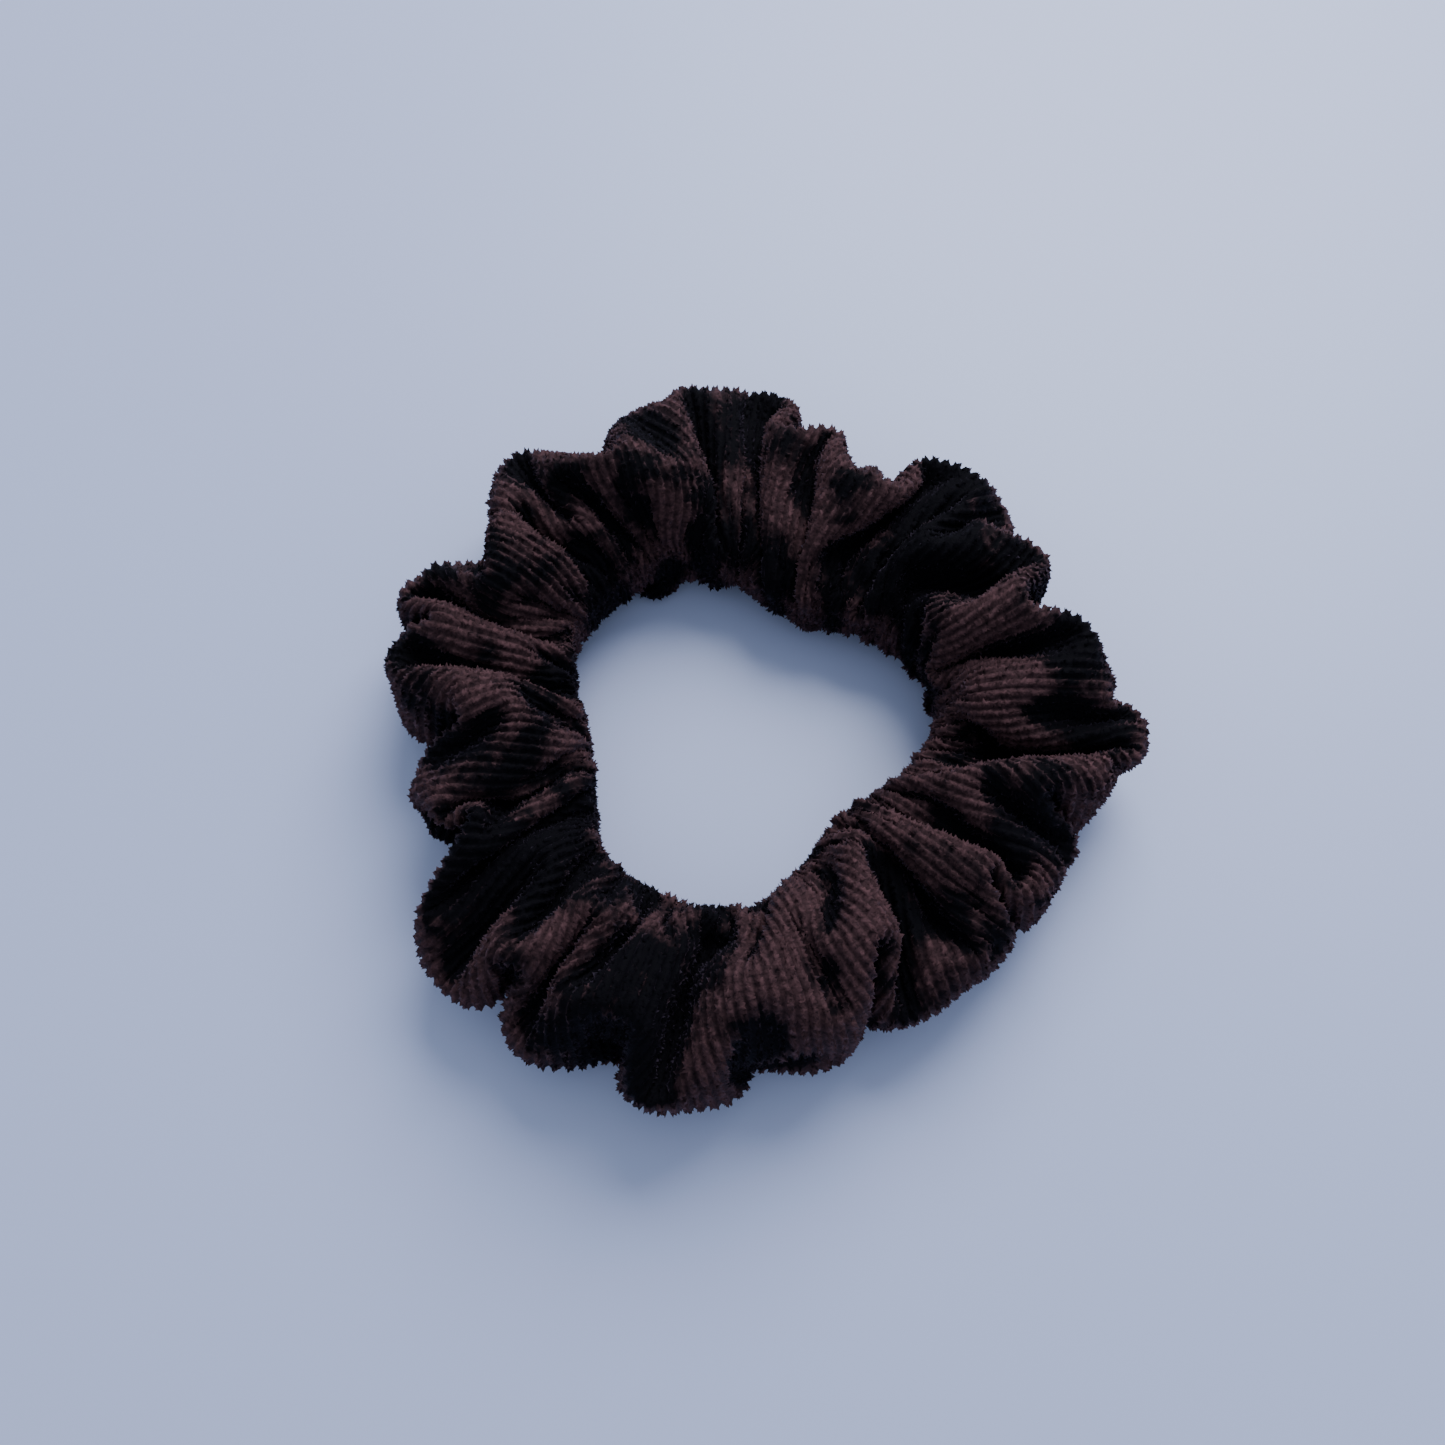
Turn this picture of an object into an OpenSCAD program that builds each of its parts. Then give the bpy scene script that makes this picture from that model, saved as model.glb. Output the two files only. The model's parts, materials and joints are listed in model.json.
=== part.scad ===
// Gathered velvet scrunchie: a fabric tube bunched along a loop of flat elastic.
// The loop lies flat. Its axis is +Z through the origin, and it rests on the plane z = 0.
// A stretching loop has no single rigid shape, so the tube, the elastic and the long seam
// are each cut into one span per puff, and each puff is free to move outwards.

/* [Elastic] */
// Radius of the relaxed elastic loop, at the middle of its thickness
elastic_r = 26.7; // [26:0.1:28]
// Width of the flat elastic
elastic_w = 6; // [4:0.5:8]
// Thickness of the flat elastic
elastic_t = 1; // [0.8:0.1:1.2]
// Angle that the stitched lap of the two elastic ends covers
lap_angle = 24; // [16:1:26]

/* [Sleeve] */
// Thickness of the velvet with its pile
velvet_t = 1.5; // [1.2:0.1:1.8]
// Height of the tube at the crown of a puff
crown_h = 22; // [19:0.5:24]
// Height of the tube in the crease between two puffs
crease_h = 18; // [16:0.5:19]
// How much of the height is pressed flat where a puff rests on the table
rest_sag = 1.5; // [0.5:0.1:2]
// Width of the turned-in seam allowance
allowance_w = 5; // [3:0.5:6]
// Gap between the spans of two neighbouring puffs
span_gap = 0.4; // [0.3:0.1:0.8]
// How far one end of the tube is tucked into the other
tuck_l = 8; // [5:0.5:10]

/* [Thread] */
// Diameter of the sewing thread
thread_d = 0.3; // [0.2:0.05:0.4]
// Length of one stitch of the long seam
stitch_l = 2.6; // [2:0.1:4]
// Zigzags across the elastic lap
zigzag_n = 7; // [4:1:9]
// Stitches round the mouth where the two ends of the tube are closed
closing_n = 24; // [16:1:32]

/* [Hidden] */
// One row per puff: the angle of its crown, how far out the crown reaches, how far in.
PUFFS = [
    [253, 49.0, 22.0],
    [281, 47.0, 21.0],
    [305, 46.0, 19.5],
    [330, 46.5, 19.5],
    [360, 48.0, 21.0],
    [401, 46.5, 19.0],
    [428, 41.0, 17.0],
    [456, 48.0, 18.5],
    [490, 49.5, 24.0],
    [524, 49.0, 22.0],
    [553, 46.5, 21.5],
    [582, 51.5, 23.0]
];
PUFF_N = len(PUFFS);
MOUTH = 7;                           // the tube's two ends meet in the crease before this puff
CREASE_OUT = 5.5;                    // how much less than its crowns a crease reaches out
CREASE_IN = 1.5;                     // and how much further out its inner edge lies
SHOULDER_AT = 0.55;                  // a puff's shoulder, as a share of the way to its crease
SHOULDER_DROP = 0.2;                 // and how far it has dropped by there
FACETS = 32;                         // round outlines that are hulled
ARC_FACETS = 96;
THREAD_FACETS = 8;
OVERSHOOT = 0.6;                     // how far a cutter runs past a face
EDGE = 0.02;                         // thickness of the end slices that a hull joins
SEAM_INSET = 3;                      // from the outside of the tube to the long seam's stitches
STITCH_SHARE = 0.85;                 // share of a stitch's length that lies on this face
LAP_MARGIN_ANGLE = 3;                // bare elastic at each end of the zigzag
LAP_MARGIN = 1;                      // and along each edge of it
CLOSING_INSET = 3;                   // from the mouth to the closing stitches
mid_z = crease_h / 2 - rest_sag;     // height of the elastic and of the long seam
lap_start = PUFFS[MOUTH][0] - lap_angle / 2;
LAP_FACES = [                        // where thread lies on the inside and outside of the lap
    elastic_r - elastic_t / 2 - thread_d / 2,
    elastic_r + elastic_t * 3 / 2 + thread_d / 2
];

function two(n) = str(n < 10 ? "0" : "", n);
function wrap(i) = (i + PUFF_N) % PUFF_N;
function mix(a, b, share) = a + (b - a) * share;
function crown_angle(i) = PUFFS[wrap(i)][0] + 360 * floor(i / PUFF_N);
function crown_reach(i) = PUFFS[wrap(i)][1];
function crown_inner(i) = PUFFS[wrap(i)][2];
// Crease i follows puff i.
function crease_angle(i) = mix(crown_angle(i), crown_angle(i + 1), 0.5);
function crease_reach(i) = mix(crown_reach(i), crown_reach(i + 1), 0.5) - CREASE_OUT;
function crease_inner(i) = mix(crown_inner(i), crown_inner(i + 1), 0.5) + CREASE_IN;
// Half the gap between two spans, as an angle at radius r.
function gap_angle(r) = asin(span_gap / 2 / r);

// Stands an outline up in the plane at this angle, moved sideways off it by shift.
module slice(angle, shift = 0) {
    rotate([0, 0, angle])
        translate([0, shift, 0])
            rotate([90, 0, 0])
                linear_extrude(EDGE, center = true)
                    children();
}

// Cross-section of the tube from radius inner to reach and h high, with its underside
// pressed flat, drawn smaller all round by the wall w.
module tube_outline(inner, reach, h, w) {
    wide = reach - inner;
    translate([mix(inner, reach, 0.5), 0])
        intersection() {
            translate([0, h / 2 - rest_sag])
                resize([wide - 2 * w, h - 2 * w])
                    circle(d = h, $fn = FACETS);
            translate([-wide, w])
                square([2 * wide, h]);
        }
}

module crown_slice(i, w) {
    slice(crown_angle(i))
        tube_outline(crown_inner(i), crown_reach(i), crown_h, w);
}

module crease_slice(c, w, shift) {
    slice(crease_angle(c), shift)
        tube_outline(crease_inner(c), crease_reach(c), crease_h, w);
}

// The rounded part of puff i, on the side of crease c.
module shoulder_slice(i, c, w) {
    slice(mix(crown_angle(i), crease_angle(c), SHOULDER_AT))
        tube_outline(
            mix(crown_inner(i), crease_inner(c), SHOULDER_DROP),
            mix(crown_reach(i), crease_reach(c), SHOULDER_DROP),
            mix(crown_h, crease_h, SHOULDER_DROP),
            w
        );
}

// The closed body of puff i, drawn smaller by the wall w and longer by extra at each end.
module puff_body(i, w, extra) {
    hull() {
        crease_slice(i - 1, w, span_gap / 2 - extra);
        shoulder_slice(i, i - 1, w);
        crown_slice(i, w);
        shoulder_slice(i, i, w);
        crease_slice(i, w, extra - span_gap / 2);
    }
}

module allowance_outline(reach) {
    translate([reach - velvet_t / 2 - allowance_w, mid_z - velvet_t / 2])
        square([allowance_w, velvet_t]);
}

// The two raw edges of the long seam, turned in from the outer edge of the tube.
module allowance(i) {
    hull() {
        slice(crease_angle(i - 1), span_gap / 2)
            allowance_outline(crease_reach(i - 1));
        slice(crown_angle(i))
            allowance_outline(crown_reach(i));
        slice(crease_angle(i), -span_gap / 2)
            allowance_outline(crease_reach(i));
    }
}

// One puff of the velvet tube, hollow, with its seam allowance inside.
module sleeve_puff(i) {
    color("#2b1b1c") {
        difference() {
            puff_body(i, 0, 0);
            puff_body(i, velvet_t, OVERSHOOT);
        }
        allowance(i);
    }
}

// The end of the tube that is tucked into the mouth of the next span, open at both ends.
module sleeve_tucked_end() {
    c = MOUTH - 1;
    outside = velvet_t + span_gap;
    color("#2b1b1c")
        rotate([0, 0, crease_angle(c)])
            translate([0, span_gap, 0])
                rotate([-90, 0, 0])
                    mirror([0, 1, 0])
                        linear_extrude(tuck_l)
                            difference() {
                                mouth_outline(c, outside);
                                mouth_outline(c, outside + velvet_t);
                                allowance_slot(c);
                            }
}

module mouth_outline(c, w) {
    tube_outline(crease_inner(c), crease_reach(c), crease_h, w);
}

// Room in the tucked end for the seam allowance that it slides over.
module allowance_slot(c) {
    room = velvet_t + 2 * (thread_d + span_gap);
    translate([crease_reach(c) - allowance_w - 2 * velvet_t, mid_z - room / 2])
        square([allowance_w + 2 * velvet_t, room]);
}

// A band of elastic from angle start to finish, with its inner face at radius r.
module elastic_arc(r, start, finish) {
    color("#e9e4da")
        translate([0, 0, mid_z - elastic_w / 2])
            rotate([0, 0, start])
                rotate_extrude(angle = finish - start, $fn = ARC_FACETS)
                    translate([r, 0])
                        square([elastic_t, elastic_w]);
}

// The stretch of flat elastic inside puff i.
module elastic_span(i) {
    gap = gap_angle(elastic_r);
    elastic_arc(elastic_r - elastic_t / 2, crease_angle(i - 1) + gap, crease_angle(i) - gap);
}

// The second end of the elastic, lapped over the outside of the first.
module elastic_lap_tail() {
    elastic_arc(elastic_r + elastic_t / 2, lap_start, lap_start + lap_angle);
}

// A straight run of thread between two points.
module thread_between(from, to) {
    run = to - from;
    translate(from)
        rotate([0, atan2(norm([run[0], run[1]]), run[2]), atan2(run[1], run[0])])
            cylinder(h = norm(run), d = thread_d, $fn = THREAD_FACETS);
}

// The k-th turn of the zigzag, on the face of the lap at radius r.
function zigzag_point(r, k) =
    let (
        angle = lap_start + LAP_MARGIN_ANGLE
            + (lap_angle - 2 * LAP_MARGIN_ANGLE) * k / (2 * zigzag_n),
        rise = (k % 2 == 0 ? 1 : -1) * (elastic_w / 2 - LAP_MARGIN)
    )
    [r * cos(angle), r * sin(angle), mid_z + rise];

// Zigzag thread that holds the lap, as the runs that show on the two faces of the band.
module elastic_lap_stitch() {
    color("#f4f1ea")
        for (k = [0 : 2 * zigzag_n - 1], r = LAP_FACES) {
            here = zigzag_point(r, k);
            thread_between(here, mix(here, zigzag_point(r, k + 1), STITCH_SHARE));
        }
}

function seam_point(angle, reach, shift) = [
    (reach - SEAM_INSET) * cos(angle) - shift * sin(angle),
    (reach - SEAM_INSET) * sin(angle) + shift * cos(angle),
    mid_z
];

// Stitches of the long seam from one point to another, above and below the two raw edges.
module seam_run(from, to) {
    count = max(1, floor(norm(to - from) / stitch_l));
    for (k = [0 : count - 1]) {
        side = [0, 0, (k % 2 == 0 ? 1 : -1) * (velvet_t + thread_d) / 2];
        thread_between(
            mix(from, to, k / count) + side,
            mix(from, to, (k + STITCH_SHARE) / count) + side
        );
    }
}

// The long seam in puff i.
module seam_thread(i) {
    start = seam_point(crease_angle(i - 1), crease_reach(i - 1), span_gap);
    crown = seam_point(crown_angle(i), crown_reach(i), 0);
    finish = seam_point(crease_angle(i), crease_reach(i), -span_gap);
    color("#241718") {
        seam_run(start, crown);
        seam_run(crown, finish);
    }
}

// The point at this share of the way round the inside of the tucked end.
function round_mouth(share) =
    let (
        c = MOUTH - 1,
        inset = 2 * velvet_t + span_gap + thread_d,
        wide = crease_reach(c) - crease_inner(c) - 2 * inset,
        high = crease_h - 2 * inset
    )
    [
        mix(crease_inner(c), crease_reach(c), 0.5) + wide / 2 * cos(360 * share),
        CLOSING_INSET,
        max(inset, mid_z + high / 2 * sin(360 * share))
    ];

// Hand stitches round the mouth of the tube, where its two ends are closed together.
// They start and stop clear of the seam allowance, which lies at share 0.
module closing_stitch() {
    color("#241718")
        rotate([0, 0, crease_angle(MOUTH - 1)])
            for (k = [1 : closing_n - 2])
                thread_between(
                    round_mouth(k / closing_n),
                    round_mouth((k + STITCH_SHARE) / closing_n)
                );
}

for (i = [0 : PUFF_N - 1]) {
    sleeve_puff(i);
    elastic_span(i);
    seam_thread(i);
}
sleeve_tucked_end();
closing_stitch();
elastic_lap_tail();
elastic_lap_stitch();
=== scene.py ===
# %% [markdown]
# # A gathered velvet scrunchie
# A scrunchie is one strip of velvet sewn into a tube, pulled over a loop of flat elastic.
# The relaxed elastic is less than half as long as the fabric, so the fabric gathers into puffs.
# This lesson sews the tube in Blender, lets Cloth gather it, adds the ribs of the velvet,
# and cuts the result where each puff's body in the frame begins.

# %% Load the fixed frame
import json
import math

import bmesh
import bpy
import numpy as np
from mathutils import Matrix, Vector, noise

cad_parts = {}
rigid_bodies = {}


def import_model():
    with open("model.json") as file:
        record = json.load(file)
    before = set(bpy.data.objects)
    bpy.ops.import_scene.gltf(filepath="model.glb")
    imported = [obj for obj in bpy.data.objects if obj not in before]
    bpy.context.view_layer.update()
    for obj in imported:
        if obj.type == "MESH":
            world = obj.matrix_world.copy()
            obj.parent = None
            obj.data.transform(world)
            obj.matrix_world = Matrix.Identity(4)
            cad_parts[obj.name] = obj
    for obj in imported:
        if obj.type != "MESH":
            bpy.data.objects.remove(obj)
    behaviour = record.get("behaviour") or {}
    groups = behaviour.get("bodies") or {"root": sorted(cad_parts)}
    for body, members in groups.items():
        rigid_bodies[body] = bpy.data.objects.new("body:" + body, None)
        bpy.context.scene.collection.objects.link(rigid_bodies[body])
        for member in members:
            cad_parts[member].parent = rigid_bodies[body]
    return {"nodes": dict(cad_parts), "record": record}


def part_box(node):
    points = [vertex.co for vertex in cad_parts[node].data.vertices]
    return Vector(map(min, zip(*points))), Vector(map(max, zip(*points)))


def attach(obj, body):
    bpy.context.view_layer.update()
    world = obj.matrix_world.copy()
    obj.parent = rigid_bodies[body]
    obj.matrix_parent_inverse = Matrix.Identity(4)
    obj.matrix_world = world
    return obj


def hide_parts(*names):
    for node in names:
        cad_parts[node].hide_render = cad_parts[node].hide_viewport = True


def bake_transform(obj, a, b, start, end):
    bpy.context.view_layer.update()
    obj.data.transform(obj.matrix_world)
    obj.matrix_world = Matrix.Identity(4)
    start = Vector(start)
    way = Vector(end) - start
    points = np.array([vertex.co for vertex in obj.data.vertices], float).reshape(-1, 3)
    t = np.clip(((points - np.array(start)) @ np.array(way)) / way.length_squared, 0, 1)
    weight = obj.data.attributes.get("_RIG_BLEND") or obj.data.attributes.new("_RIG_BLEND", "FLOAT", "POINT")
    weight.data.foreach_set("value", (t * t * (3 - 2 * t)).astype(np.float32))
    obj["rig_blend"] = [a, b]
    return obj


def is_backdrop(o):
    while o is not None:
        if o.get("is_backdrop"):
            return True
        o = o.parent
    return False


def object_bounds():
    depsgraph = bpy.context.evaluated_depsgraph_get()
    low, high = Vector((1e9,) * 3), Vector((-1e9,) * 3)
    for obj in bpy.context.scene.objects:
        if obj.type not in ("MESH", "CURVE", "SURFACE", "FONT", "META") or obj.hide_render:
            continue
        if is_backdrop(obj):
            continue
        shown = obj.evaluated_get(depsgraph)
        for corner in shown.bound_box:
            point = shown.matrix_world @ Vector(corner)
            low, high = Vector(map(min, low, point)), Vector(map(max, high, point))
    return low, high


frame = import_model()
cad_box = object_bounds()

MM = 0.001

# %% [markdown]
# The camera looks down at the loop from the front, steeply, as a person looks at something
# small on a table. It comes first, so that everything made later can be judged through it.

# %% Camera
CAMERA_ELEVATION = math.radians(67)
CAMERA_DISTANCE = 204 * MM
CAMERA_AIM = Vector((-3.2, -0.2, 9.0)) * MM
CAMERA_FIELD = math.radians(48)


def aim(thing, target):
    """Turns a camera or light so that it looks at a point."""
    thing.rotation_euler = (Vector(target) - thing.location).to_track_quat("-Z", "Y").to_euler()


camera = bpy.data.objects.new("camera", bpy.data.cameras.new("camera"))
camera.data.angle = CAMERA_FIELD
camera.data.clip_start = 0.01
camera.location = CAMERA_AIM + CAMERA_DISTANCE * Vector(
    (0, -math.cos(CAMERA_ELEVATION), math.sin(CAMERA_ELEVATION))
)
aim(camera, CAMERA_AIM)
bpy.context.collection.objects.link(camera)
bpy.context.scene.camera = camera
print("camera at", [round(c, 3) for c in camera.location])

# %% [markdown]
# Velvet shows its pile by how it takes the light, so the light is one big soft source behind
# the loop and a weak, cool world all round. The floor is plain and pale.

# %% Floor and light
FLOOR_HALF = 0.6


def new_object(name, bm):
    """Turns a bmesh into an object in the scene."""
    mesh = bpy.data.meshes.new(name)
    bm.to_mesh(mesh)
    bm.free()
    made = bpy.data.objects.new(name, mesh)
    bpy.context.collection.objects.link(made)
    return made


def plain_material(name, color, roughness):
    """A Principled material with one colour, ready for nodes."""
    material = bpy.data.materials.new(name)
    material.use_nodes = True
    shader = material.node_tree.nodes["Principled BSDF"]
    shader.inputs["Base Color"].default_value = (*color, 1)
    shader.inputs["Roughness"].default_value = roughness
    return material, shader


bm = bmesh.new()
bmesh.ops.create_grid(bm, x_segments=1, y_segments=1, size=FLOOR_HALF)
floor = new_object("floor", bm)
floor.data.materials.append(plain_material("pale_floor", (0.57, 0.63, 0.92), 0.40)[0])
floor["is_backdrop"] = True

world = bpy.data.worlds.new("studio")
world.use_nodes = True
world.node_tree.nodes["Background"].inputs["Color"].default_value = (0.72, 0.83, 1.0, 1)
world.node_tree.nodes["Background"].inputs["Strength"].default_value = 0.62
bpy.context.scene.world = world


def soft_light(name, place, size, power, color):
    lamp = bpy.data.lights.new(name, "AREA")
    lamp.shape = "DISK"
    lamp.size = size
    lamp.energy = power
    lamp.color = color
    made = bpy.data.objects.new(name, lamp)
    made.location = place
    aim(made, (0, 0, 0))
    bpy.context.collection.objects.link(made)
    return made


soft_light("window", (0.16, 0.42, 0.46), 0.50, 4.3, (0.92, 0.95, 1.0))
print("floor, world and one soft light")

# %% [markdown]
# ## The strip of velvet
# Everything about the fabric follows from a few measures: the length of the strip, how far
# round the sewn tube is, and the wale, which is the distance from rib to rib. The ribs run
# across the strip, so round the tube, and there is one column of the mesh for each of them.

# %% Measures of the fabric
STRIP_LENGTH = 380 * MM
TUBE_ROUND = 68 * MM
RIBS = 312
ROWS = 40
elastic_low, elastic_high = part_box("elastic_span_05")
ELASTIC_Z = (elastic_low[2] + elastic_high[2]) / 2
ELASTIC_OUTSIDE = elastic_high[0]
ELASTIC_HEIGHT = elastic_high[2] - elastic_low[2]
INNER_LIMIT = ELASTIC_OUTSIDE - 1.7 * MM

# %% [markdown]
# ## Where the puffs fall
# The puffs of a real scrunchie differ, so each place round the loop is an angle and a kind: a
# large, middling, small or low puff, or a slight, shallow or deep crease. The kinds say how far
# out the fabric reaches. The hole is a soft triangle that lies a little to the left. More
# fabric goes where the way round is longer, which a running sum of that way gives.

# %% Puffs and creases
LARGE, MIDDLE, SMALL, LOW = 49 * MM, 46 * MM, 43 * MM, 37 * MM
SLIGHT, SHALLOW, DEEP = 42 * MM, 38 * MM, 34 * MM
PLACES = [
    (5, MIDDLE), (20, DEEP), (25, SMALL), (35, SHALLOW), (45, MIDDLE), (60, DEEP), (70, LOW),
    (80, SHALLOW), (100, LARGE), (120, DEEP), (130, LARGE), (145, DEEP), (155, MIDDLE),
    (165, SLIGHT), (170, MIDDLE), (185, DEEP), (195, SMALL), (205, DEEP), (215, LARGE),
    (230, SMALL), (250, SMALL), (270, SMALL), (290, DEEP), (310, SMALL), (320, SHALLOW),
    (330, SMALL), (340, SHALLOW), (350, MIDDLE),
]
HOLE_REACH = 21 * MM
HOLE_CORNER = 4 * MM
HOLE_SHIFT = 2 * MM
CORNER_TURN = math.radians(130)
SHIFT_TURN = math.radians(190)
EXTRA_PER_PLACE = 1 * MM
angle, reach = (np.array(c, float) for c in zip(*(PLACES + PLACES[:1])))
angle[-1] += 360
way = np.radians(np.diff(angle)) * (reach[1:] + reach[:-1]) / 2 + EXTRA_PER_PLACE
fed = np.concatenate([[0], np.cumsum(way)]) / way.sum()
column_share = np.arange(RIBS) / RIBS
column_angle = np.radians(np.interp(column_share, fed, angle))
column_reach = np.interp(column_share, fed, reach)
column_inner = HOLE_REACH + HOLE_CORNER * np.cos(3 * (column_angle - CORNER_TURN))
column_inner += HOLE_SHIFT * np.cos(column_angle - SHIFT_TURN)
place_column = np.round(fed[:-1] * RIBS).astype(int) % RIBS
print(len(PLACES), "places, columns", place_column.tolist())

# %% [markdown]
# ## Sewing the tube
# The tube starts as the fabric is before it is gathered: a circle spun into a ring as long as
# the strip. A little noise, always the same, lets it buckle where it likes between the places.
# Cloth works best on things about a metre across, so the ring is simulated twenty times life size.

# %% The ungathered tube
BIG = 20.0
RING_RADIUS = STRIP_LENGTH / (2 * math.pi)
TUBE_RADIUS = TUBE_ROUND / (2 * math.pi)
UNEVEN = 0.6 * MM
row_turn = 2 * math.pi * np.arange(ROWS) / ROWS


def ring_points(radius_in, radius_out, height, turn):
    """Points of a tube, one row per column: its inner and outer radius, height and angle."""
    middle = ((radius_in + radius_out) / 2)[:, None]
    half = ((radius_out - radius_in) / 2)[:, None]
    r = middle - half * np.cos(row_turn)[None, :]
    z = height[:, None] / 2 * (1 + np.sin(row_turn))[None, :]
    return np.stack([r * np.cos(turn)[:, None], r * np.sin(turn)[:, None], z], -1)


def spun_tube():
    """A circle spun about Z, and the column and row of each of its points."""
    bm = bmesh.new()
    stand = Matrix.Translation((RING_RADIUS, 0, TUBE_RADIUS)) @ Matrix.Rotation(math.pi / 2, 4, "X")
    circle = bmesh.ops.create_circle(bm, segments=ROWS, radius=TUBE_RADIUS, matrix=stand)
    bmesh.ops.spin(
        bm, geom=circle["verts"] + bm.edges[:], cent=(0, 0, 0), axis=(0, 0, 1),
        angle=2 * math.pi, steps=RIBS, use_merge=True,
    )
    bmesh.ops.recalc_face_normals(bm, faces=bm.faces[:])
    tube = new_object("gathering_tube", bm)
    co = np.array([v.co for v in tube.data.vertices])
    columns = np.round(np.arctan2(co[:, 1], co[:, 0]) / (2 * math.pi) * RIBS).astype(int) % RIBS
    r = np.hypot(co[:, 0], co[:, 1]) - RING_RADIUS
    rows = np.round(np.arctan2(co[:, 2] - TUBE_RADIUS, -r) / (2 * math.pi) * ROWS).astype(int) % ROWS
    return tube, columns, rows


def uneven(co):
    """Moves each point a little, by smooth noise."""
    return np.array([p + UNEVEN * np.array(noise.noise_vector(Vector(p) / (9 * MM))) for p in co])


# %% [markdown]
# ## Letting it gather
# The row on the inside of the tube is pinned over the elastic and drawn in from the flat ring to
# the relaxed loop by a shape key. Soft goals keep the rows beside it flat against the band, and
# hold the crowns and creases near their places. Air in the tube keeps it round, and the floor presses it flat underneath.

# %% The gathering simulation
GATHER_FRAMES = 36
SETTLE_FRAMES = 16
PUFF_HEIGHT = 20 * MM
GOAL_ROWS = 3
GOAL_COLUMNS = 1
GOAL = 0.85
BAND_ROWS = 2
BAND_HALF = ELASTIC_HEIGHT / 2 + 0.7 * MM
BAND_GOAL = 0.75
BAND_ROOM = 0.9 * MM


def clear_of_band(points):
    """Lifts cloth that has sunk into the elastic to lie just over it or just under it."""
    r = np.hypot(points[..., 0], points[..., 1])
    near = (r > ELASTIC_OUTSIDE - 2 * BAND_ROOM) & (r < ELASTIC_OUTSIDE + 2 * BAND_ROOM)
    row = np.arange(ROWS)[None, :]
    over = near & (row > 0) & (row <= ROWS // 4)
    under = near & (row >= ROWS - ROWS // 4)
    top = elastic_high[2] + BAND_ROOM
    bottom = elastic_low[2] - BAND_ROOM
    points[..., 2] = np.where(over, np.maximum(points[..., 2], top), points[..., 2])
    points[..., 2] = np.where(under, np.minimum(points[..., 2], bottom), points[..., 2])
    return points


def gather():
    """Simulates the gathering, and gives back the tube's points by column and row, in metres."""
    goal = ring_points(
        np.minimum(column_inner + 1.5 * MM, INNER_LIMIT), column_reach,
        np.full(RIBS, PUFF_HEIGHT), column_angle,
    )
    for row in range(-BAND_ROWS, BAND_ROWS + 1):
        goal[:, row, 2] = ELASTIC_Z + row / BAND_ROWS * BAND_HALF
        goal[:, row, :2] = goal[:, 0, :2]
    tube, columns, rows = spun_tube()
    mesh = tube.data
    co = uneven(np.array([v.co for v in mesh.vertices]))
    mesh.vertices.foreach_set("co", (co * BIG).ravel())
    pins = tube.vertex_groups.new(name="pins")
    pins.add(np.flatnonzero(rows == 0).tolist(), 1.0, "REPLACE")
    band = (rows > 0) & ((rows <= BAND_ROWS) | (rows >= ROWS - BAND_ROWS))
    pins.add(np.flatnonzero(band).tolist(), BAND_GOAL, "REPLACE")
    outer = np.abs(rows - ROWS // 2) <= GOAL_ROWS
    held = (place_column[:, None] + np.arange(-GOAL_COLUMNS, GOAL_COLUMNS + 1)) % RIBS
    pins.add(np.flatnonzero(outer & np.isin(columns, held)).tolist(), GOAL, "REPLACE")
    rest = tube.shape_key_add(name="flat")
    gathered = tube.shape_key_add(name="gathered")
    gathered.data.foreach_set("co", (goal[columns, rows] * BIG).ravel().astype(np.float32))
    for value, at in ((0, 1), (1, GATHER_FRAMES)):
        gathered.value = value
        gathered.keyframe_insert("value", frame=at)
    for curve in mesh.shape_keys.animation_data.action.fcurves:
        for key in curve.keyframe_points:
            key.interpolation = "LINEAR"

    bm = bmesh.new()
    bmesh.ops.create_grid(bm, x_segments=1, y_segments=1, size=0.2 * BIG)
    table = new_object("gathering_table", bm)
    table.modifiers.new("collision", "COLLISION")
    table.collision.thickness_outer = 0.3 * MM * BIG
    table.collision.cloth_friction = 20

    cloth = tube.modifiers.new("cloth", "CLOTH")
    velvet = cloth.settings
    velvet.rest_shape_key = rest
    velvet.quality = 6
    velvet.mass = 0.3
    velvet.air_damping = 1.0
    velvet.tension_stiffness = velvet.compression_stiffness = 15
    velvet.shear_stiffness = 5
    velvet.bending_stiffness = 14
    velvet.tension_damping = velvet.compression_damping = velvet.shear_damping = 5
    velvet.bending_damping = 1
    velvet.vertex_group_mass = "pins"
    velvet.pin_stiffness = 1
    velvet.use_pressure = True
    velvet.uniform_pressure_force = 1.8
    velvet.effector_weights.gravity = 0.3
    touch = cloth.collision_settings
    touch.distance_min = 0.3 * MM * BIG
    touch.collision_quality = 2
    touch.use_self_collision = True
    touch.self_distance_min = 0.6 * MM * BIG
    touch.self_friction = 5
    scene = bpy.context.scene
    last = GATHER_FRAMES + SETTLE_FRAMES
    cloth.point_cache.frame_end = last
    for step in range(1, last + 1):
        scene.frame_set(step)
    result = tube.evaluated_get(bpy.context.evaluated_depsgraph_get()).data
    settled = np.array([v.co for v in result.vertices]) / BIG
    points = np.zeros((RIBS, ROWS, 3))
    points[columns, rows] = settled
    for used in (tube, table):
        bpy.data.meshes.remove(used.data)
    scene.frame_set(1)
    return clear_of_band(points)


gathered_points = gather()
print("gathered to", (np.ptp(gathered_points.reshape(-1, 3), axis=0) / MM).round(1), "mm")

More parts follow.
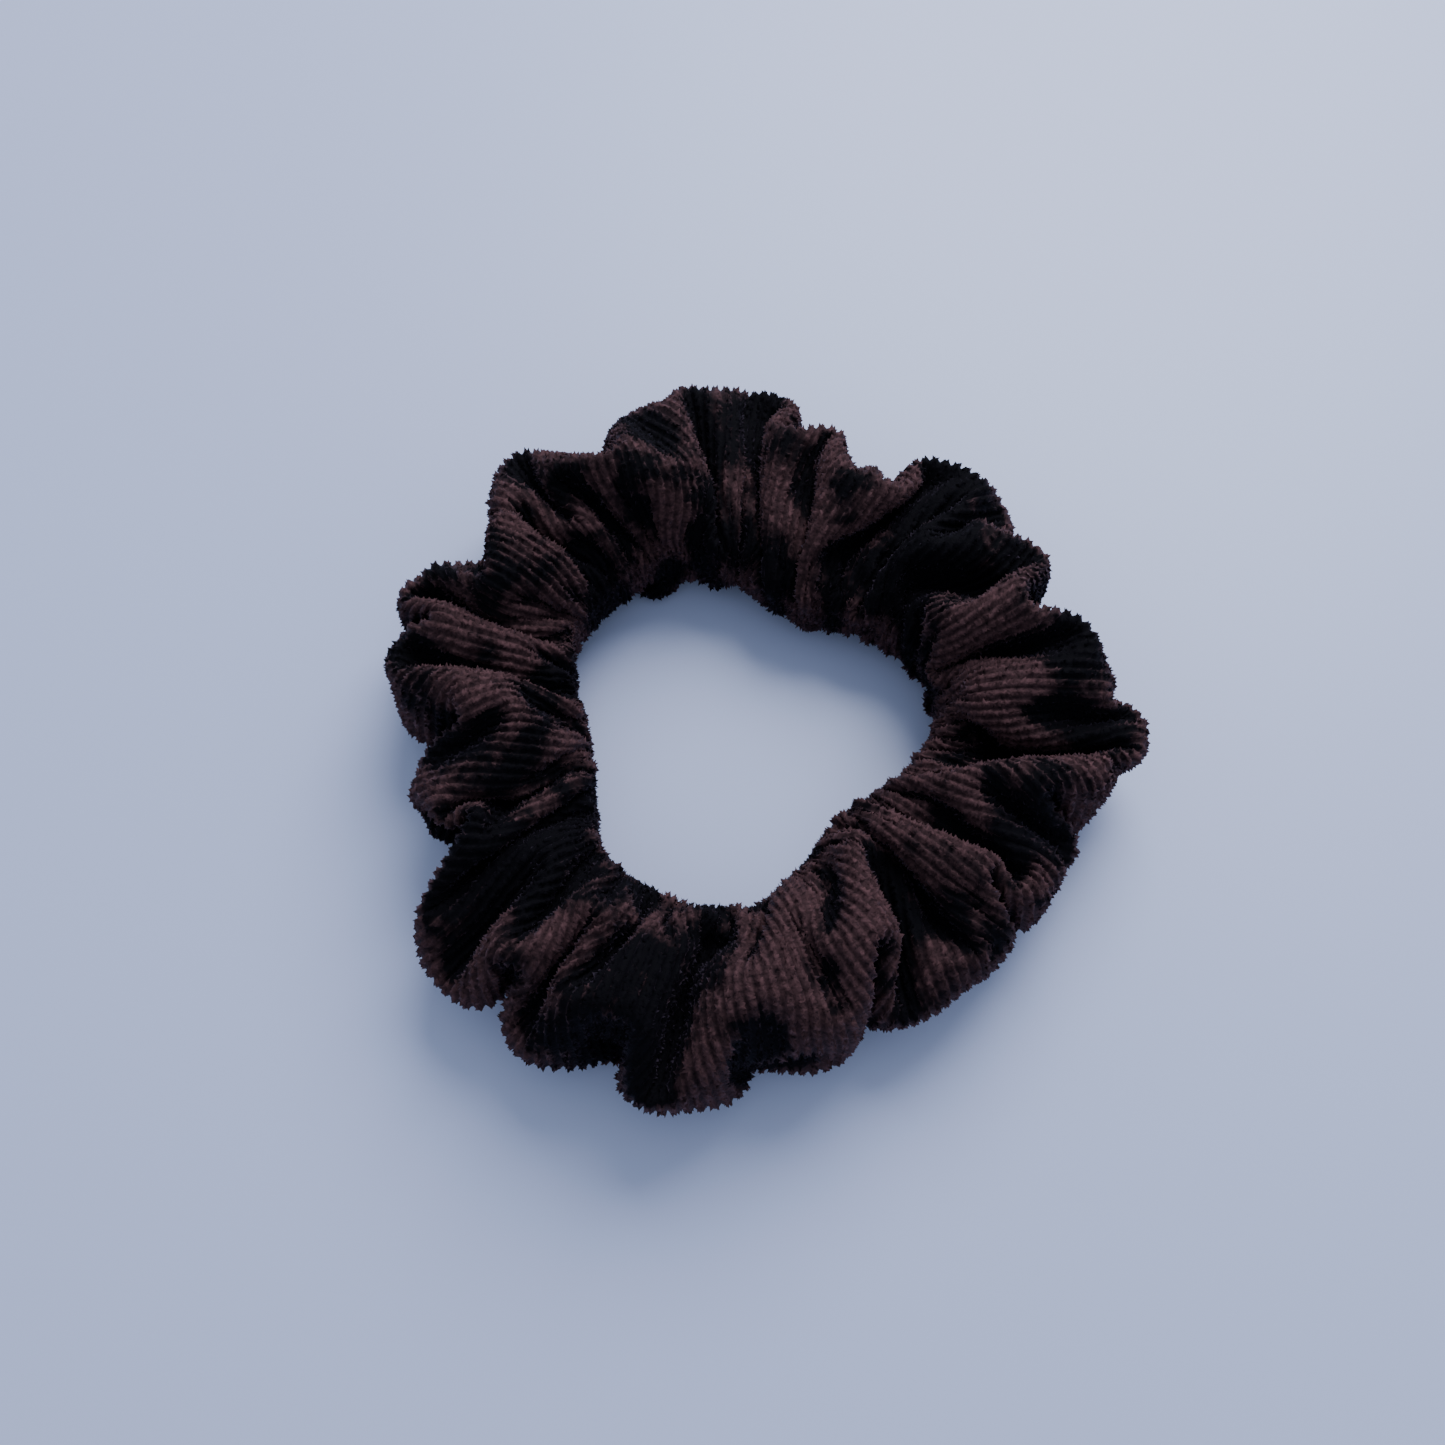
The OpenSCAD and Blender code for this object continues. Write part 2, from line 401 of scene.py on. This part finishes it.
# %% [markdown]
# ## The velvet
# Velvet is dark where the eye looks down into the pile and lighter where it sees the pile from
# the side, so it needs sheen more than colour. Handling crushes the pile into patches that lean
# different ways, and the lighter colour of the patches is partly painted sheen. Two fields drive
# the material: the ribs, from the UV map, which counts ribs one way and rib widths the other, and
# the crushed patches, from noise on where each point lay in the ungathered tube. That place is
# stored as an attribute, so the patches have no seam. The ribs carry painted shade in their grooves.
# The height of the fold, another attribute, paints light on the crests of the folds and shade in the
# hollows.

# %% Node helpers
def add_node(tree, kind, **settings):
    """Adds a node. A setting in capitals is an input's value, or an output to link to it."""
    made = tree.nodes.new(kind)
    for name, value in settings.items():
        if not name[0].isupper():
            setattr(made, name, value)
            continue
        socket = made.inputs[name.replace("_", " ")]
        if isinstance(value, bpy.types.NodeSocket):
            tree.links.new(value, socket)
        else:
            socket.default_value = value
    return made


def calculate(tree, operation, a, b=0.0, c=0.0):
    """A Math node's result."""
    made = tree.nodes.new("ShaderNodeMath")
    made.operation = operation
    for socket, value in zip(made.inputs, (a, b, c)):
        if isinstance(value, bpy.types.NodeSocket):
            tree.links.new(value, socket)
        else:
            socket.default_value = value
    return made.outputs[0]


def shader_group(name, inputs, outputs):
    """An empty node group with float inputs and the outputs named."""
    group = bpy.data.node_groups.new(name, "ShaderNodeTree")
    for label, value in inputs.items():
        socket = group.interface.new_socket(label, in_out="INPUT", socket_type="NodeSocketFloat")
        socket.default_value = value
    for label, kind_of in outputs.items():
        group.interface.new_socket(label, in_out="OUTPUT", socket_type=kind_of)
    return group, group.nodes.new("NodeGroupInput").outputs, group.nodes.new("NodeGroupOutput").inputs


# %% The crushed, ribbed pile as a node group
def crushed_pile():
    """Masks for a ribbed pile: the rib's crest, for painted shade in the grooves, the lay of the pile, and
    its tufts.
    """
    group, given, result = shader_group(
        "crushed_pile",
        {"Patch Scale": 58.0, "Streak Scale": 230.0, "Tuft Scale": 1500.0},
        {"Rib Shade": "NodeSocketFloat", "Lay": "NodeSocketFloat", "Tuft": "NodeSocketFloat"},
    )
    count = add_node(group, "ShaderNodeUVMap", uv_map="ribs").outputs[0]
    rib = add_node(group, "ShaderNodeSeparateXYZ", Vector=count).outputs["X"]
    # The crest mask carries painted shade: it darkens the colour in the groove between each two ribs.
    wave = calculate(group, "COSINE", calculate(group, "MULTIPLY", rib, 2 * math.pi))
    crest = calculate(group, "MULTIPLY_ADD", wave, -0.5, 0.5)
    place = add_node(group, "ShaderNodeAttribute", attribute_name="ungathered").outputs["Vector"]
    patches = add_node(
        group, "ShaderNodeTexNoise", Vector=place, Scale=given["Patch Scale"],
        Detail=2.0, Roughness=0.5, Distortion=0.4,
    ).outputs[0]
    streaks = add_node(
        group, "ShaderNodeTexNoise", Vector=place, Scale=given["Streak Scale"],
        Detail=2.0, Roughness=0.6, Distortion=1.0,
    ).outputs[0]
    lay = calculate(group, "MULTIPLY_ADD", streaks, 0.25, calculate(group, "MULTIPLY", patches, 0.75))
    tufts = add_node(
        group, "ShaderNodeTexNoise", Vector=place, Scale=given["Tuft Scale"],
        Detail=2.0, Roughness=0.7,
    ).outputs[0]
    group.links.new(crest, result["Rib Shade"])
    group.links.new(lay, result["Lay"])
    group.links.new(tufts, result["Tuft"])
    return group


pile_group = crushed_pile()
print("pile group gives", [o.name for o in pile_group.interface.items_tree if o.in_out == "OUTPUT"])

# %% The velvet material
# The deepest colour is painted shade in the rib grooves, and is also laid at random on low tufts. The light
# colour is partly painted sheen and partly painted light on the crests of the folds.
PILE_GROOVE_SHADE_AND_SPECK = (0.0010, 0.0008, 0.0022, 1)
PILE_DARK = (0.0020, 0.0014, 0.0034, 1)
PILE_LIGHT = (0.140, 0.067, 0.074, 1)


def mixed(tree, factor, a, b):
    """A colour Mix node's result."""
    made = tree.nodes.new("ShaderNodeMix")
    made.data_type = "RGBA"
    for socket, value in zip((made.inputs["Factor"], made.inputs[6], made.inputs[7]), (factor, a, b)):
        if isinstance(value, bpy.types.NodeSocket):
            tree.links.new(value, socket)
        else:
            socket.default_value = value
    return made.outputs[2]


def velvet_material():
    """Pile that is dark face on, and lighter from the side and where it has been crushed: partly the
    velvet's own patches, partly painted sheen. Painted shade darkens the rib grooves and fold hollows, and
    painted light lifts the fold crests.
    """
    material, shader = plain_material("ribbed_velvet", PILE_DARK[:3], 0.80)
    tree = material.node_tree
    pile = add_node(tree, "ShaderNodeGroup", node_tree=pile_group)
    aside = add_node(tree, "ShaderNodeLayerWeight", Blend=0.5).outputs["Facing"]
    fold_light_and_shade = add_node(tree, "ShaderNodeAttribute", attribute_name="fold_light_and_shade").outputs["Fac"]
    lean = calculate(tree, "MULTIPLY_ADD", pile.outputs["Lay"], 7.0, -3.92)
    # Painted light and shade: the fold height lightens the crests of the folds and darkens the hollows.
    lean = calculate(tree, "MULTIPLY_ADD", fold_light_and_shade, 0.60, lean)
    seen = calculate(tree, "MULTIPLY_ADD", aside, 0.80, lean)
    shown = add_node(
        tree, "ShaderNodeMapRange", interpolation_type="SMOOTHSTEP",
        Value=seen, From_Min=0.0, From_Max=0.8,
    ).outputs[0]
    colored = mixed(tree, shown, PILE_DARK, PILE_LIGHT)
    # Painted shade: the colour darkens to the deepest brown in the groove between each two ribs, and at
    # random where the tuft noise is low.
    speckled = calculate(tree, "MULTIPLY_ADD", pile.outputs["Tuft"], 1.6, -0.30)
    rib_shade_and_speckle = calculate(tree, "MULTIPLY_ADD", pile.outputs["Rib Shade"], 0.5, 0.5)
    rib_shade_and_speckle = calculate(tree, "MULTIPLY", rib_shade_and_speckle, speckled)
    rib_shade_and_speckle.node.use_clamp = True
    tree.links.new(mixed(tree, rib_shade_and_speckle, PILE_GROOVE_SHADE_AND_SPECK, colored), shader.inputs["Base Color"])
    bump = add_node(
        tree, "ShaderNodeBump", Strength=0.5, Distance=0.3 * MM, Height=pile.outputs["Tuft"]
    )
    tree.links.new(bump.outputs[0], shader.inputs["Normal"])
    shader.inputs["Specular IOR Level"].default_value = 0.08
    shader.inputs["Sheen Weight"].default_value = 0.12
    shader.inputs["Sheen Roughness"].default_value = 0.35
    shader.inputs["Sheen Tint"].default_value = (0.40, 0.30, 0.46, 1)
    return material


velvet = velvet_material()
print("material", velvet.name)

# %% [markdown]
# ## Ribs and sections
# The gathered tube has one quad per rib. Two levels of subdivision give each rib four, enough
# to raise its crest in the mesh. The frame has one body per puff, and they part when the loop
# stretches. So the sleeve is made in sections that run from the crown of one puff to the crown
# of the next, each cut along a rib's groove, and each bending between its two bodies.

# %% Where each section begins
LOOK_EITHER_WAY = 7
BEHAVIOUR = frame["record"]["behaviour"]
links = [(j["parent"], j["child"]) for j in BEHAVIOUR["joints"]]
ROOT = links[0][0]
CLOSING = links[-1][1]


def puff_angle(body):
    """The angle of a puff's crown, from its sleeve's box."""
    number = (ROOT if body == CLOSING else body)[-2:]
    low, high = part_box(f"sleeve_puff_{number}")
    return math.atan2(low[1] + high[1], low[0] + high[0])


def tangent(turn):
    return np.array([-math.sin(turn), math.cos(turn), 0])


def groove_near(turn):
    """The column near this angle that lies most nearly in one upright plane."""
    offset = (column_angle - turn + math.pi) % (2 * math.pi) - math.pi
    middle = int(np.argmin(np.abs(offset)))
    choices = [(middle + d) % RIBS for d in range(-LOOK_EITHER_WAY, LOOK_EITHER_WAY + 1)]
    return min(choices, key=lambda c: np.ptp(gathered_points[c] @ tangent(turn)))


groove = {body: groove_near(puff_angle(body)) for body in [ROOT] + [b for _, b in links[:-1]]}
groove[CLOSING] = groove[ROOT]
print("grooves:", groove)

# %% How far each place stands out as the crest of a fold, for painted light on crests and painted shade in hollows
FOLD_COLUMNS = 5
FOLD_ROWS = 3
FOLD_FULL = 0.8 * MM
FOLD_USUAL = 0.35


def outward_at(points):
    """The outward direction of the gathered cloth at each of its points."""
    along = np.roll(points, -1, axis=0) - np.roll(points, 1, axis=0)
    round_tube = np.roll(points, -1, axis=1) - np.roll(points, 1, axis=1)
    outward = np.cross(along, round_tube)
    outward /= np.linalg.norm(outward, axis=2, keepdims=True)
    from_middle = points - points.mean(axis=1, keepdims=True)
    return outward * np.sign((outward * from_middle).sum())


def fold_height(points):
    """How far each point stands out of the cloth around it, from -1 in a hollow to 1 on a crest."""
    around = points.copy()
    for axis, reach_each_way in ((0, FOLD_COLUMNS), (1, FOLD_ROWS)):
        shifts = range(-reach_each_way, reach_each_way + 1)
        around = np.mean([np.roll(around, d, axis=axis) for d in shifts], axis=0)
    return np.clip(((points - around) * outward_at(points)).sum(-1) / FOLD_FULL - FOLD_USUAL, -1, 1)


gathered_fold_light_and_shade = fold_height(gathered_points)
print("fold height from", gathered_fold_light_and_shade.min().round(2), "mean", gathered_fold_light_and_shade.mean().round(2))

# %% Fine mesh of a section
PAD = 3
FINE = 4
RIB_RELIEF = 0.40 * MM
SEAM_ROW = 25
SEAM_DEPTH = 0.7 * MM
SEAM_HALF_WIDTH = 0.9 * MM
FLOOR_GAP = 0.05 * MM
ROW_STEP = TUBE_ROUND / ROWS
mouth_low, mouth_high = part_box("closing_stitch")
closing_turn = math.atan2(mouth_low[1] + mouth_high[1], mouth_low[0] + mouth_high[0])
closing_column = groove_near(closing_turn)
CLOSING_HALF_RIBS = 0.8
tuft_random = np.random.default_rng(7)
tuft_height = tuft_random.uniform(0.72, 1.12, (RIBS * FINE, ROWS * FINE))
tuft_lean = tuft_random.uniform(-0.09, 0.09, (RIBS * FINE, ROWS * FINE, 3)) * MM


def padded_grid(name, first, count):
    """A grid over the columns first to first + count and a few more each side, closed round the tube."""
    bm = bmesh.new()
    bm.loops.layers.uv.new("ribs")
    across = count + 2 * PAD
    bmesh.ops.create_grid(bm, x_segments=across, y_segments=ROWS, size=0.5, calc_uvs=True)
    uv = bm.loops.layers.uv["ribs"]
    for vert in bm.verts:
        column = first - PAD + round((vert.co.x + 0.5) * across)
        row = round((vert.co.y + 0.5) * ROWS)
        vert.co = gathered_points[column % RIBS, row % ROWS]
    for face in bm.faces:
        for loop in face.loops:
            loop[uv].uv = (first - PAD + loop[uv].uv.x * across, loop[uv].uv.y * ROWS)
    bmesh.ops.remove_doubles(bm, verts=bm.verts[:], dist=1e-7)
    bmesh.ops.reverse_faces(bm, faces=bm.faces[:])
    return new_object(name, bm)


def smooth_copy(made, levels=2):
    """Applies a Subdivision Surface modifier."""
    modifier = made.modifiers.new("smooth", "SUBSURF")
    modifier.levels = modifier.render_levels = levels
    modifier.uv_smooth = "NONE"
    evaluated = made.evaluated_get(bpy.context.evaluated_depsgraph_get())
    old, made.data = made.data, bpy.data.meshes.new_from_object(evaluated)
    made.modifiers.clear()
    bpy.data.meshes.remove(old)
    return made.data


def strip_places(mesh):
    """For each point, its rib and row on the strip, read from the UV map."""
    flat = np.empty(len(mesh.loops) * 2)
    mesh.uv_layers["ribs"].data.foreach_get("uv", flat)
    corner = np.empty(len(mesh.loops), int)
    mesh.loops.foreach_get("vertex_index", corner)
    place = np.empty((len(mesh.vertices), 2))
    place[corner] = flat.reshape(-1, 2)
    return place


def between_points(table, rib, row):
    """A table of values by column and row, read between its entries."""
    column, below = np.floor(rib).astype(int), np.floor(row).astype(int)
    u, v = rib - column, row - below
    corners = [
        table[(column + i) % RIBS, (below + j) % ROWS] * (u if i else 1 - u) * (v if j else 1 - v)
        for i in (0, 1) for j in (0, 1)
    ]
    return sum(corners)


def raise_ribs(mesh):
    """Lifts the crests of the ribs and their tufts, and presses in the long seam."""
    co = np.array([v.co for v in mesh.vertices])
    normal = np.array([n.vector for n in mesh.vertex_normals])
    rib, row = strip_places(mesh).T
    crest = np.abs(np.sin(math.pi * rib)) ** 0.7
    fine_rib = np.round(rib * FINE).astype(int) % (RIBS * FINE)
    fine_row = np.round(row * FINE).astype(int) % (ROWS * FINE)
    from_seam = (row - SEAM_ROW) * ROW_STEP / SEAM_HALF_WIDTH
    from_mouth = ((rib - closing_column + RIBS / 2) % RIBS - RIBS / 2) / CLOSING_HALF_RIBS
    pressed = np.maximum(np.exp(-from_seam**2), np.exp(-from_mouth**2))
    lift = RIB_RELIEF * crest * tuft_height[fine_rib, fine_row] - SEAM_DEPTH * pressed
    co += normal * lift[:, None] + tuft_lean[fine_rib, fine_row] * crest[:, None]
    co[:, 2] = np.maximum(co[:, 2], FLOOR_GAP)
    mesh.vertices.foreach_set("co", co.ravel())
    around = row / ROWS * 2 * math.pi
    along = rib / RIBS * 2 * math.pi
    out = RING_RADIUS - TUBE_RADIUS * np.cos(around)
    flat = np.stack([out * np.cos(along), out * np.sin(along), TUBE_RADIUS * np.sin(around)], -1)
    place = mesh.attributes.new("ungathered", "FLOAT_VECTOR", "POINT")
    place.data.foreach_set("vector", flat.ravel().astype(np.float32))
    # The fold height is kept for painted light on the crests of the folds and painted shade in the hollows.
    fold_light_and_shade = mesh.attributes.new("fold_light_and_shade", "FLOAT", "POINT")
    fold_light_and_shade.data.foreach_set("value", between_points(gathered_fold_light_and_shade, rib, row).astype(np.float32))


def trim(made, first, count):
    """Deletes the padding, so that the section ends in a groove at both ends."""
    bm = bmesh.new()
    bm.from_mesh(made.data)
    uv = bm.loops.layers.uv["ribs"]
    spare = []
    for face in bm.faces:
        middle = sum(loop[uv].uv.x for loop in face.loops) / len(face.loops)
        if not first < middle < first + count:
            spare.append(face)
        face.smooth = True
    bmesh.ops.delete(bm, geom=spare, context="FACES")
    bm.to_mesh(made.data)
    bm.free()


# %% [markdown]
# The pile stands up in tufts along the crest of every rib, and they show as a fringe wherever
# the cloth turns away. Poking a face raises a point in its middle. So some of the faces on the
# crests are copied to a piece of their own and poked, each tuft leaning a little its own way.

# %% The pile
TUFT_SHARE = 0.85
TUFT_HEIGHT = 0.30 * MM
TUFT_LEAN = 0.14 * MM


def pile_tufts(section, index):
    """Raises a tuft on most of the faces along the ribs' crests."""
    bm = bmesh.new()
    bm.from_mesh(section.data)
    uv = bm.loops.layers.uv["ribs"]
    random = np.random.default_rng(index)
    spare = []
    for face in bm.faces:
        across = sum(loop[uv].uv.x for loop in face.loops) / len(face.loops) % 1
        if abs(across - 0.5) > 0.26 or random.random() > TUFT_SHARE:
            spare.append(face)
    bmesh.ops.delete(bm, geom=spare, context="FACES")
    tips = bmesh.ops.poke(bm, faces=bm.faces[:], offset=TUFT_HEIGHT)["verts"]
    place = bm.verts.layers.float_vector["ungathered"]
    fold_light_and_shade = bm.verts.layers.float["fold_light_and_shade"]
    for tip, lean in zip(tips, random.normal(0, TUFT_LEAN, (len(tips), 3))):
        foot = tip.link_edges[0].other_vert(tip)
        tip[place] = foot[place]
        tip[fold_light_and_shade] = foot[fold_light_and_shade]
        tip.co += Vector(lean)
        tip.co.z = max(tip.co.z, FLOOR_GAP)
    for face in bm.faces:
        face.smooth = True
    pile = new_object(f"velvet_pile_{index:02d}", bm)
    pile.data.materials.append(velvet)
    return pile


# %% [markdown]
# A section's two ends have to follow their bodies exactly, or a gap would open between one
# section and the next. So the bend starts past the last point of one end and stops before the
# first point of the other, measured along the line on which those two bodies part.

# %% The velvet sleeve
def bend_between(made, parent, child, ends):
    """Blends a piece between two bodies, clear of the groove at each end."""
    line = tangent(math.atan2(*np.sum([np.mean(e, axis=0) for e in ends], axis=0)[1::-1]))
    start = max(ends[0] @ line)
    stop = min(ends[1] @ line)
    if stop < start:
        raise ValueError(f"{made.name} has no room to bend")
    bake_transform(made, parent, child, start=line * start, end=line * stop)
    return stop - start


def sleeve_section(index, parent, child):
    first = groove[parent]
    count = (groove[child] - first) % RIBS
    made = padded_grid(f"velvet_sleeve_{index:02d}", first, count)
    mesh = smooth_copy(made)
    raise_ribs(mesh)
    trim(made, first, count)
    made.data.materials.append(velvet)
    ends = [gathered_points[first], gathered_points[(first + count) % RIBS]]
    pile = pile_tufts(made, index)
    room = bend_between(made, parent, child, ends)
    bend_between(pile, parent, child, ends)
    print(f"{made.name}: {count} ribs, {len(made.data.polygons)} faces, bends over {room / MM:.1f} mm")
    return made


for index, (parent, child) in enumerate(links, start=1):
    section = sleeve_section(index, parent, child)
    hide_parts(f"sleeve_puff_{parent[-2:]}")
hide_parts("sleeve_tucked_end")

# %% [markdown]
# ## The elastic
# Flat elastic is a row of fine rubber cords with yarn braided over and under them, so its faces
# carry lengthwise ridges crossed by slanting yarn, and its edges are round. A circle of points
# is pressed into that outline and spun about the loop's axis. It is hidden while the loop is
# relaxed, but it is what the velvet is gathered on. It has one span for each pair of bodies.

# %% Braided band
CORDS = 8
YARN_LENGTH = 1.3 * MM
BAND_STEP = math.radians(1.5)
tail_low, tail_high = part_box("elastic_lap_tail")
BAND_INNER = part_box("elastic_span_05")[0][0]
tail_points = np.array([v.co for v in frame["nodes"]["elastic_lap_tail"].data.vertices])
tail_turns = np.arctan2(tail_points[:, 1], tail_points[:, 0])
tail_radii = np.hypot(tail_points[:, 0], tail_points[:, 1])
LAP_START = float(tail_turns.min())
LAP_END = float(tail_turns.max())
BAND_THICK = float(np.ptp(tail_radii))
BAND_RADIUS = float(tail_radii.min()) - BAND_THICK


def braided_band(name, inner, start, finish):
    """A band of elastic between two angles, with its inner face at that radius."""
    bm = bmesh.new()
    outline = bmesh.ops.create_circle(bm, segments=64, radius=1)["verts"]
    for vert in outline:
        across = vert.co.y
        face = math.copysign(abs(vert.co.x) ** 0.4, vert.co.x)
        ridge = 0.93 + 0.07 * math.cos(across * CORDS * math.pi)
        r = inner + BAND_THICK / 2 * (1 + face * ridge)
        height = ELASTIC_Z + across * ELASTIC_HEIGHT / 2
        vert.co = (r * math.cos(start), r * math.sin(start), height)
    bmesh.ops.spin(
        bm, geom=bm.verts[:] + bm.edges[:], cent=(0, 0, 0), axis=(0, 0, 1),
        angle=finish - start, steps=math.ceil((finish - start) / BAND_STEP),
    )
    bmesh.ops.holes_fill(bm, edges=bm.edges[:])
    bmesh.ops.recalc_face_normals(bm, faces=bm.faces[:])
    for face in bm.faces:
        face.smooth = len(face.verts) == 4
    made = new_object(name, bm)
    co = np.array([v.co for v in made.data.vertices])
    along = np.unwrap(np.arctan2(co[:, 1], co[:, 0]) - start) % (2 * math.pi) * inner / YARN_LENGTH
    across = (co[:, 2] - ELASTIC_Z) / ELASTIC_HEIGHT * CORDS
    braid = made.data.attributes.new("braid", "FLOAT_VECTOR", "POINT")
    braid.data.foreach_set("vector", np.stack([along, across, 0 * along], -1).ravel())
    made.data.materials.append(elastic_cloth)
    return made


# %% Yarn as a node group, for the elastic and the threads
def yarn_group():
    """Slanting yarns crossing each other, with a little fluff. Given a place in yarn widths."""
    group = bpy.data.node_groups.new("yarn", "ShaderNodeTree")
    group.interface.new_socket("Place", in_out="INPUT", socket_type="NodeSocketVector")
    fluff = group.interface.new_socket("Fluff", in_out="INPUT", socket_type="NodeSocketFloat")
    fluff.default_value = 0.3
    group.interface.new_socket("Height", in_out="OUTPUT", socket_type="NodeSocketFloat")
    given = group.nodes.new("NodeGroupInput").outputs
    result = group.nodes.new("NodeGroupOutput").inputs
    parts = add_node(group, "ShaderNodeSeparateXYZ", Vector=given["Place"]).outputs
    one = calculate(group, "ADD", parts["X"], parts["Y"])
    other = calculate(group, "SUBTRACT", parts["X"], parts["Y"])
    waves = [
        calculate(group, "SINE", calculate(group, "MULTIPLY", slant, math.pi))
        for slant in (one, other)
    ]
    weave = calculate(group, "MULTIPLY_ADD", calculate(group, "MULTIPLY", *waves), 0.5, 0.5)
    fuzz = add_node(group, "ShaderNodeTexNoise", Vector=given["Place"], Scale=6.0, Detail=3.0)
    height = calculate(group, "MULTIPLY_ADD", fuzz.outputs[0], given["Fluff"], weave)
    group.links.new(height, result["Height"])
    return group


yarn = yarn_group()


def yarn_material(name, dark, light, attribute=None, scale=(1.0, 1.0, 1.0)):
    """A yarn material, on the piece's own attribute or else on Object coordinates."""
    material, shader = plain_material(name, light, 0.75)
    tree = material.node_tree
    if attribute:
        place = add_node(tree, "ShaderNodeAttribute", attribute_name=attribute).outputs["Vector"]
    else:
        place = tree.nodes.new("ShaderNodeTexCoord").outputs["Object"]
    mapping = add_node(tree, "ShaderNodeMapping", Vector=place, Scale=scale)
    strands = add_node(tree, "ShaderNodeGroup", node_tree=yarn, Place=mapping.outputs[0])
    height = strands.outputs["Height"]
    color = mixed(tree, height, (*dark, 1), (*light, 1))
    tree.links.new(color, shader.inputs["Base Color"])
    bump = add_node(tree, "ShaderNodeBump", Strength=0.7, Distance=0.12 * MM, Height=height)
    tree.links.new(bump.outputs[0], shader.inputs["Normal"])
    shader.inputs["Sheen Weight"].default_value = 0.25
    shader.inputs["Sheen Roughness"].default_value = 0.5
    return material


THREAD_TURNS = (9000.0, 9000.0, 9000.0)
elastic_cloth = yarn_material("braided_elastic", (0.50, 0.47, 0.43), (0.76, 0.73, 0.67), "braid")
dark_thread = yarn_material(
    "sleeve_thread", (0.003, 0.002, 0.003), (0.011, 0.006, 0.008), scale=THREAD_TURNS
)
white_thread = yarn_material(
    "lap_thread", (0.62, 0.61, 0.59), (0.86, 0.85, 0.83), scale=THREAD_TURNS
)
print("materials", elastic_cloth.name, dark_thread.name, white_thread.name)

# %% The spans of elastic
for index, (parent, child) in enumerate(links, start=1):
    start = puff_angle(parent) % (2 * math.pi)
    finish = start + (puff_angle(child) - start) % (2 * math.pi)
    span = braided_band(f"braided_elastic_{index:02d}", BAND_RADIUS, start, finish)
    bend_from = LAP_END if parent == ROOT else start
    bend_to = LAP_START if child == CLOSING else finish
    ends = [
        [(BAND_RADIUS * math.cos(t), BAND_RADIUS * math.sin(t), ELASTIC_Z)]
        for t in (bend_from, bend_to)
    ]
    room = bend_between(span, parent, child, ends)
    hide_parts(f"elastic_span_{parent[-2:]}")
    print(f"{span.name}: {math.degrees(finish - start):.0f} degrees, bends over {room / MM:.1f} mm")
tail = braided_band("braided_elastic_lap", BAND_RADIUS + BAND_THICK, LAP_START, LAP_END)
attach(tail, ROOT)
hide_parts("elastic_lap_tail")
zigzag = frame["nodes"]["elastic_lap_stitch"]
zigzag.data.materials.clear()
zigzag.data.materials.append(white_thread)

# %% [markdown]
# ## The stitches
# The long seam is machine stitched with the cloth inside out, so after turning, its stitches
# lie just inside the groove that they pull. The closing seam is stitched round the mouth of the
# sleeve where its tucked end goes in. Each stitch is a short round thread from one rib to the
# next, and it bends with the section of sleeve that it holds.

# %% Lines for the stitches
THREAD_WIDE = 0.3 * MM
STITCH_DEPTH = 0.7 * MM
STITCH_SHARE = 0.8


inside_points = gathered_points - outward_at(gathered_points) * (SEAM_DEPTH + STITCH_DEPTH)


def stitched(name, pairs, material):
    """Round threads, one between each pair of points."""
    bm = bmesh.new()
    for a, b in pairs:
        a, b = Vector(a), Vector(b)
        run = (b - a) * STITCH_SHARE
        turn = run.to_track_quat("Z", "Y").to_matrix().to_4x4()
        bmesh.ops.create_cone(
            bm, cap_ends=True, segments=8, radius1=THREAD_WIDE / 2, radius2=THREAD_WIDE / 2,
            depth=run.length, matrix=Matrix.Translation((a + b) / 2) @ turn,
        )
    for face in bm.faces:
        face.smooth = len(face.verts) == 4
    made = new_object(name, bm)
    made.data.materials.append(material)
    return made


# %% Stitches of the long seam and the closing seam
RIBS_PER_STITCH = 2
for index, (parent, child) in enumerate(links, start=1):
    first = groove[parent]
    count = (groove[child] - first) % RIBS
    ends = [gathered_points[first], gathered_points[(first + count) % RIBS]]
    line = [(first + d) % RIBS for d in range(1, count, RIBS_PER_STITCH)]
    pairs = [inside_points[[a, b], SEAM_ROW] for a, b in zip(line, line[1:])]
    seam = stitched(f"long_seam_stitches_{index:02d}", pairs, dark_thread)
    bend_between(seam, parent, child, ends)
    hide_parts(f"seam_thread_{parent[-2:]}")
round_mouth = inside_points[closing_column]
pairs = zip(round_mouth, np.roll(round_mouth, -1, axis=0))
closing = stitched("closing_seam_stitches", pairs, dark_thread)
bend_between(closing, *links[-1], ends)
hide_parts("closing_stitch")
print("stitches sewn for", len(links), "sections and the closing seam")

# %% [markdown]
# ## Sizes
# The cloth may stand a little proud of the frame. Both boxes are printed.

# %% Sizes
visual_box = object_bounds()
for label, (low, high) in (("frame", cad_box), ("visual", visual_box)):
    print(label, [round((b - a) / MM, 1) for a, b in zip(low, high)], "mm")
